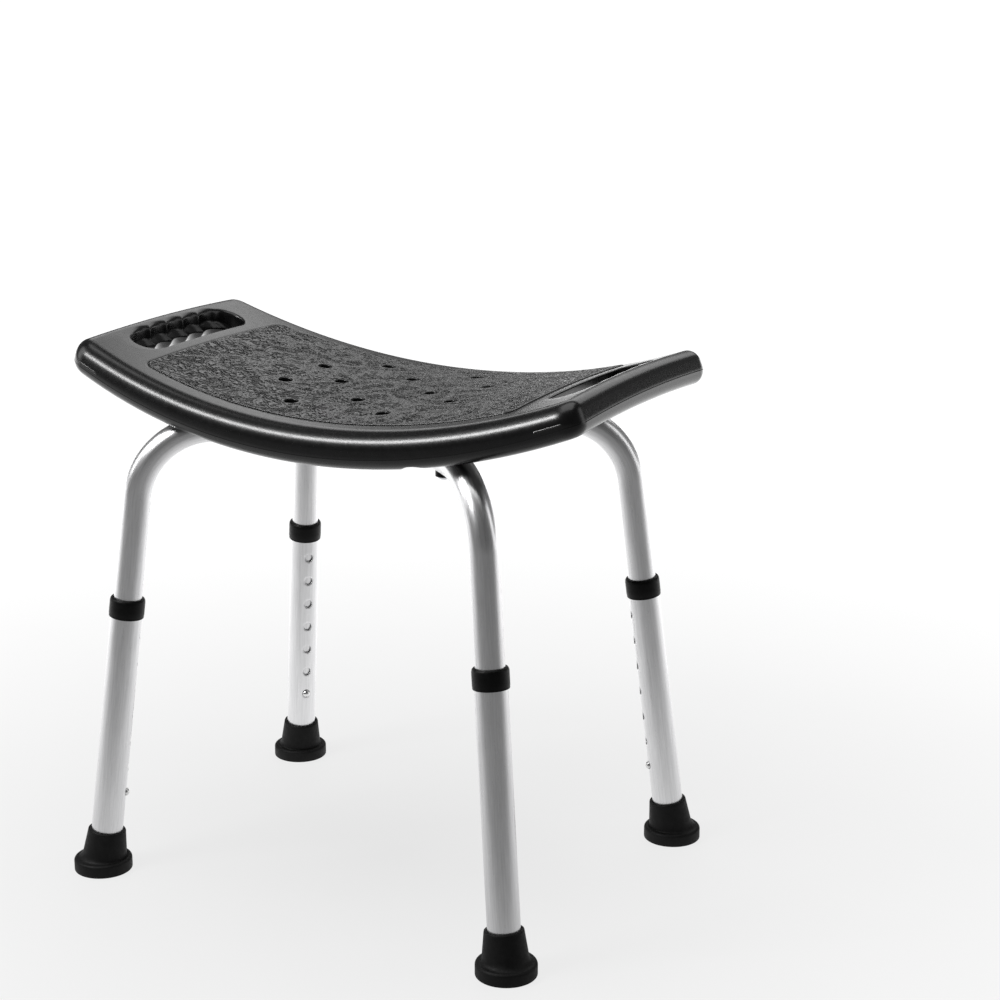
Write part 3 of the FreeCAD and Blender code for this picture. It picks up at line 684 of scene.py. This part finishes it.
def foot(material):
    """Rubber foot: flat flange with tread rings below, and a socket that leans with the leg."""
    shell = Shell()
    profile = [(4.0, 0.0, 0)]
    for groove in (9.0, 15.0, 21.0):
        profile += [(groove - 1.1, 0.0, 0), (groove - 0.9, 1.2, 0), (groove + 0.9, 1.2, 0),
                    (groove + 1.1, 0.0, 0)]
    profile += [(25.7, 0.0, 0), (26.2, 0.15, 0), (26.5, 0.5, 0), (26.6, 1.0, 0), (26.6, 5.0, 0),
                (26.6, 9.0, 0)]
    profile += [(23.6 + 3.0 * math.cos(t), 9.0 + 3.0 * math.sin(t), 0) for t in QUARTER[1:]]
    profile += [(22.6, 12.05, 0.1), (21.7, 12.35, 0.3), (21.0, 13.0, 0.55), (20.5, 14.0, 0.8),
                (20.15, 15.3, 0.95), (19.95, 16.5, 1), (19.2, 22.5, 1), (18.3, 29.5, 1),
                (17.45, 36.6, 1), (17.3, 37.9, 1), (17.0, 38.7, 1), (16.5, 39.1, 1), (15.9, 39.2, 1),
                (15.0, 39.2, 1), (14.55, 39.0, 1), (14.4, 38.6, 1), (14.4, 9.0, 1)]
    rows = []
    for radius, z, lean in profile:
        shell.frame = np.array(Matrix.Rotation(-SPLAY * lean, 4, "Y"))
        rows.append(shell.row(circle(radius, z, 96)))
    shell.bands(rows)
    shell.cap(rows[-1], (0, 0, 9.0))
    shell.frame = np.eye(4)
    shell.cap(rows[0], (0, 0, 0))
    return shell.mesh("rubber_foot", material)


def button(material):
    """Domed pin with a shoulder, its axis along Z."""
    shell = Shell()
    radius, tip, dome = 3.7, 17.3, 2.2
    ball = (radius ** 2 + dome ** 2) / (2 * dome)
    widest = math.asin(radius / ball)
    profile = [(4.6, 8.4), (4.9, 8.5), (5.0, 8.8), (5.0, 9.5), (4.8, 9.8), (3.9, 9.8), (3.7, 10.1),
               (3.7, 13.0), (3.7, tip - dome - 0.15)]
    for share in (0.98, 0.9, 0.75, 0.6, 0.45, 0.3, 0.15):
        angle = widest * share
        profile.append((ball * math.sin(angle), tip - ball + ball * math.cos(angle)))
    rows = lathe(shell, profile, 36)
    shell.cap(rows[-1], (0, 0, tip))
    shell.cap(rows[0], (0, 0, 8.4))
    return shell.mesh("snap_button", material)


# ---------------------------------------------------------------- materials
class Finish:
    """A procedural material: mottled colour, uneven gloss and fine relief on one shader."""

    def __init__(self, name, metallic=0.0, specular=0.5):
        self.material = bpy.data.materials.new(name)
        self.material.use_nodes = True
        self.tree = self.material.node_tree
        self.shader = self.tree.nodes["Principled BSDF"]
        self.shader.inputs["Metallic"].default_value = metallic
        self.shader.inputs["Specular IOR Level"].default_value = specular
        self.place = self.tree.nodes.new("ShaderNodeTexCoord").outputs["Object"]

    def node(self, kind, **values):
        node = self.tree.nodes.new("ShaderNode" + kind)
        for key, value in values.items():
            if key in node.inputs:
                node.inputs[key].default_value = value
            else:
                setattr(node, key, value)
        return node

    def link(self, source, target):
        self.tree.links.new(source, target)

    def along_tube(self, stretch):
        """Follow the tube instead of space, with the pattern drawn out along it."""
        guide = self.node("Attribute", attribute_name="guide")
        scale = self.node("Mapping", Scale=(1, 1, stretch))
        self.link(guide.outputs["Vector"], scale.inputs["Vector"])
        self.place = scale.outputs["Vector"]

    def noise(self, size, detail=2.0):
        """Noise whose blobs are about size metres across."""
        noise = self.node("TexNoise", Scale=1 / size, Detail=detail)
        self.link(self.place, noise.inputs["Vector"])
        return noise.outputs["Fac"]

    def spread(self, value, low, high, target, start=0.3, end=0.7):
        ramp = self.node("MapRange", **{"From Min": start, "From Max": end,
                                        "To Min": low, "To Max": high})
        self.link(value, ramp.inputs["Value"])
        self.link(ramp.outputs["Result"], target)

    def colour(self, size, dark, light):
        ramp = self.node("ValToRGB")
        ramp.color_ramp.elements[0].position, ramp.color_ramp.elements[1].position = 0.35, 0.65
        ramp.color_ramp.elements[0].color = (*dark, 1)
        ramp.color_ramp.elements[1].color = (*light, 1)
        self.link(self.noise(size, 4.0), ramp.inputs["Fac"])
        self.link(ramp.outputs["Color"], self.shader.inputs["Base Color"])
        return self

    def gloss(self, size, low, high):
        self.spread(self.noise(size, 3.0), low, high, self.shader.inputs["Roughness"])
        return self

    def relief(self, *layers):
        """Bumps from (size, height) pairs, in metres."""
        normal = None
        for size, height in layers:
            bump = self.node("Bump", Strength=1.0, Distance=height)
            self.link(self.noise(size), bump.inputs["Height"])
            if normal is not None:
                self.link(normal, bump.inputs["Normal"])
            normal = bump.outputs["Normal"]
        self.link(normal, self.shader.inputs["Normal"])
        return self


def grey(value, tint=1.0):
    return (value, value, value * tint)


plastic = Finish("moulded_black_plastic", specular=0.36).colour(0.009, grey(0.002), grey(0.0035, 1.05))
plastic.gloss(0.004, 0.23, 0.28).relief((0.0011, 0.000009), (0.0005, 0.000008))

aluminium = Finish("satin_aluminium", metallic=1.0)
aluminium.along_tube(0.04)
aluminium.colour(0.0012, grey(0.62, 1.01), grey(0.70, 1.01)).gloss(0.0007, 0.27, 0.36)
aluminium.relief((0.0006, 0.000004), (0.003, 0.00001))

collar_plastic = Finish("collar_plastic", specular=0.12).colour(0.004, grey(0.0015), grey(0.003))
collar_plastic.gloss(0.002, 0.38, 0.5).relief((0.0008, 0.00003))

rubber = Finish("foot_rubber", specular=0.15).colour(0.006, grey(0.002), grey(0.004))
rubber.gloss(0.003, 0.5, 0.66).relief((0.0013, 0.00008), (0.0003, 0.00002))

chrome = Finish("button_steel", metallic=1.0).colour(0.002, grey(0.62), grey(0.72))
chrome.gloss(0.001, 0.16, 0.26).relief((0.0008, 0.000005))

spring_steel = Finish("spring_steel", metallic=1.0).colour(0.003, grey(0.36), grey(0.5))
spring_steel.gloss(0.002, 0.3, 0.42).relief((0.0006, 0.000008))

zinc = Finish("zinc_steel", metallic=1.0).colour(0.003, grey(0.5, 1.03), grey(0.66, 1.05))
zinc.gloss(0.002, 0.28, 0.44).relief((0.0009, 0.00001))

brass = Finish("insert_brass", metallic=1.0).colour(0.003, (0.52, 0.38, 0.17), (0.66, 0.5, 0.24))
brass.gloss(0.002, 0.25, 0.4).relief((0.0006, 0.00001))


# ---------------------------------------------------------------- assembly
def piece(name, mesh, matrix, body, node):
    mesh = mesh.copy()
    mesh.transform(matrix)
    obj = bpy.data.objects.new(name, mesh)
    bpy.context.scene.collection.objects.link(obj)
    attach(obj, body)
    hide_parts(node)


piece("stool_seat", seat(plastic.material), Matrix.Identity(4), "frame", "seat_shell")

upper, lower = upper_tube(aluminium.material), lower_tube(aluminium.material)
sleeve, boot = collar(collar_plastic.material), foot(rubber.material)
pin = button(chrome.material)

for corner, azimuth in LEGS.items():
    axis = leg_axis(azimuth)
    flat = radial(azimuth) @ Matrix.Translation((FOOT_REACH * MM, 0, 0))
    inward = axis @ Matrix.Translation((0, 0, BUTTON * MM)) @ Matrix.Rotation(-math.pi / 2, 4, "Y")
    leg = "leg_" + corner
    piece("tube_upper_" + corner, upper, radial(azimuth), "frame",
          "upper_leg_" + corner)
    piece("tube_lower_" + corner, lower, axis, leg, "lower_leg_" + corner)
    piece("sleeve_" + corner, sleeve, axis, leg, "leg_collar_" + corner)
    piece("boot_" + corner, boot, flat, leg, "rubber_foot_" + corner)
    piece("pin_" + corner, pin, inward, "button_" + corner, "snap_button_" + corner)

finishes = {"button_spring": spring_steel, "foot_washer": zinc, "tube_plug": collar_plastic,
            "seat_screws": zinc, "saddle_washers": collar_plastic, "threaded_inserts": brass,
            "seat_shell": plastic, "upper_leg": zinc, "lower_leg": zinc, "leg_collar": collar_plastic,
            "rubber_foot": rubber, "snap_button": chrome}
for name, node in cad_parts.items():
    finish = next(value for key, value in finishes.items() if name.startswith(key))
    node.data.materials.clear()
    node.data.materials.append(finish.material)


# ---------------------------------------------------------------- studio
AWAY = (-0.49, 0.87, 0.0)  # level direction from the viewer


def floor():
    """Sheet of pale paper so wide that it fills the view.

    It glows, more strongly with distance. What the viewer sees of it directly glows evenly round
    the stool, and what lights the stool is dimmer on the near side than on the far side.
    """
    shell = Shell()
    level = -0.05
    rings = [shell.row(circle(radius, level, 96))
             for radius in (600.0, 1500.0, 4000.0, 12000.0, 30000.0)]
    shell.bands(rings)
    shell.cap(rings[0], (0, 0, level))
    paper = Finish("studio_paper", specular=0.1).colour(0.3, grey(0.05), grey(0.053))
    paper.gloss(0.1, 0.6, 0.7)
    paper.shader.inputs["Emission Color"].default_value = (1, 1, 1, 1)
    distance = paper.node("VectorMath", operation="LENGTH")
    beyond = paper.node("VectorMath", operation="DOT_PRODUCT")
    beyond.inputs[1].default_value = AWAY
    seen = paper.node("Mix")
    for measure, output, socket, near, far in ((beyond, "Value", "A", 0.26, 2.2),
                                               (distance, "Value", "B", 0.59, 1.05)):
        paper.link(paper.place, measure.inputs[0])
        paper.spread(measure.outputs[output], near, far, seen.inputs[socket], -0.6, 1.4)
    paper.link(paper.node("LightPath").outputs["Is Camera Ray"], seen.inputs["Factor"])
    paper.link(seen.outputs["Result"], paper.shader.inputs["Emission Strength"])
    obj = bpy.data.objects.new("studio_floor", shell.mesh("studio_floor", paper.material))
    bpy.context.scene.collection.objects.link(obj)


def softbox(name, place, aim, size, power):
    light = bpy.data.lights.new(name, "AREA")
    light.shape = "RECTANGLE"
    light.size, light.size_y = size
    light.energy = power
    obj = bpy.data.objects.new(name, light)
    bpy.context.scene.collection.objects.link(obj)
    obj.location = place
    obj.rotation_euler = (Vector(aim) - Vector(place)).to_track_quat("-Z", "Y").to_euler()


def heading(azimuth, elevation, distance):
    """Point at a distance from the stool's middle; azimuth 0 is in front, 90 at the right."""
    middle_height = 0.3
    a, e = math.radians(azimuth), math.radians(elevation)
    flat = distance * math.cos(e)
    return Vector((flat * math.sin(a), -flat * math.cos(a), middle_height + distance * math.sin(e)))


def surroundings(away, near, far, high):
    """Dim light from all round, a little brighter low down at the far side.

    away is the level direction from the viewer. The three levels are those of the near side, the
    far side, and everything well above the horizon.
    """
    world = bpy.data.worlds.new("studio")
    world.use_nodes = True
    bpy.context.scene.world = world
    tree = world.node_tree
    tree.nodes["Background"].inputs["Color"].default_value = (1, 1, 1, 1)
    place = tree.nodes.new("ShaderNodeTexCoord").outputs["Generated"]

    def falling(direction, start, end, first, last):
        facing = tree.nodes.new("ShaderNodeVectorMath")
        facing.operation = "DOT_PRODUCT"
        facing.inputs[1].default_value = direction
        ramp = tree.nodes.new("ShaderNodeMapRange")
        ramp.interpolation_type = "SMOOTHSTEP"
        limits = {"From Min": start, "From Max": end, "To Min": first, "To Max": last}
        for key, value in limits.items():
            ramp.inputs[key].default_value = value
        tree.links.new(place, facing.inputs[0])
        tree.links.new(facing.outputs["Value"], ramp.inputs["Value"])
        return ramp.outputs["Result"]

    mix = tree.nodes.new("ShaderNodeMix")
    tree.links.new(falling((0, 0, 1), 0.3, 0.7, 0.0, 1.0), mix.inputs["Factor"])
    tree.links.new(falling(away, -0.5, 0.5, near, far), mix.inputs["A"])
    mix.inputs["B"].default_value = high
    tree.links.new(mix.outputs["Result"], tree.nodes["Background"].inputs["Strength"])


floor()
softbox("overhead", heading(29.5, 88, 1.6), (0, 0, 0.3), (1.3, 1.3), 14)
softbox("front_key", heading(-35, 43, 1.83), (0, 0, 0.4), (0.55, 0.3), 24)
softbox("back_sheen", heading(196, 35, 2.6), (0, 0, 0.4), (2.6, 1.0), 15)
softbox("left_key", heading(-65, 30, 2.4), (0, 0, 0.3), (0.9, 1.8), 14)
softbox("right_fill", heading(118, 20, 2.6), (0, 0, 0.3), (0.8, 2.0), 8)
surroundings(AWAY, 0.12, 0.2, 0.12)

camera_data = bpy.data.cameras.new("camera")
camera_data.lens, camera_data.sensor_width = 82.52, 36.0
camera = bpy.data.objects.new("camera", camera_data)
bpy.context.scene.collection.objects.link(camera)
AZIMUTH, ELEVATION, DISTANCE = math.radians(29.5155), math.radians(15.6883), 2.0078
back = Vector((math.sin(AZIMUTH) * math.cos(ELEVATION), -math.cos(AZIMUTH) * math.cos(ELEVATION),
               math.sin(ELEVATION)))
target = Vector((0.1171, -0.0005, 0.3602))
camera.location = target + DISTANCE * back
camera.rotation_euler = back.to_track_quat("Z", "Y").to_euler()
bpy.context.scene.camera = camera
bpy.context.scene.view_settings.view_transform = "Standard"

bpy.context.view_layer.update()
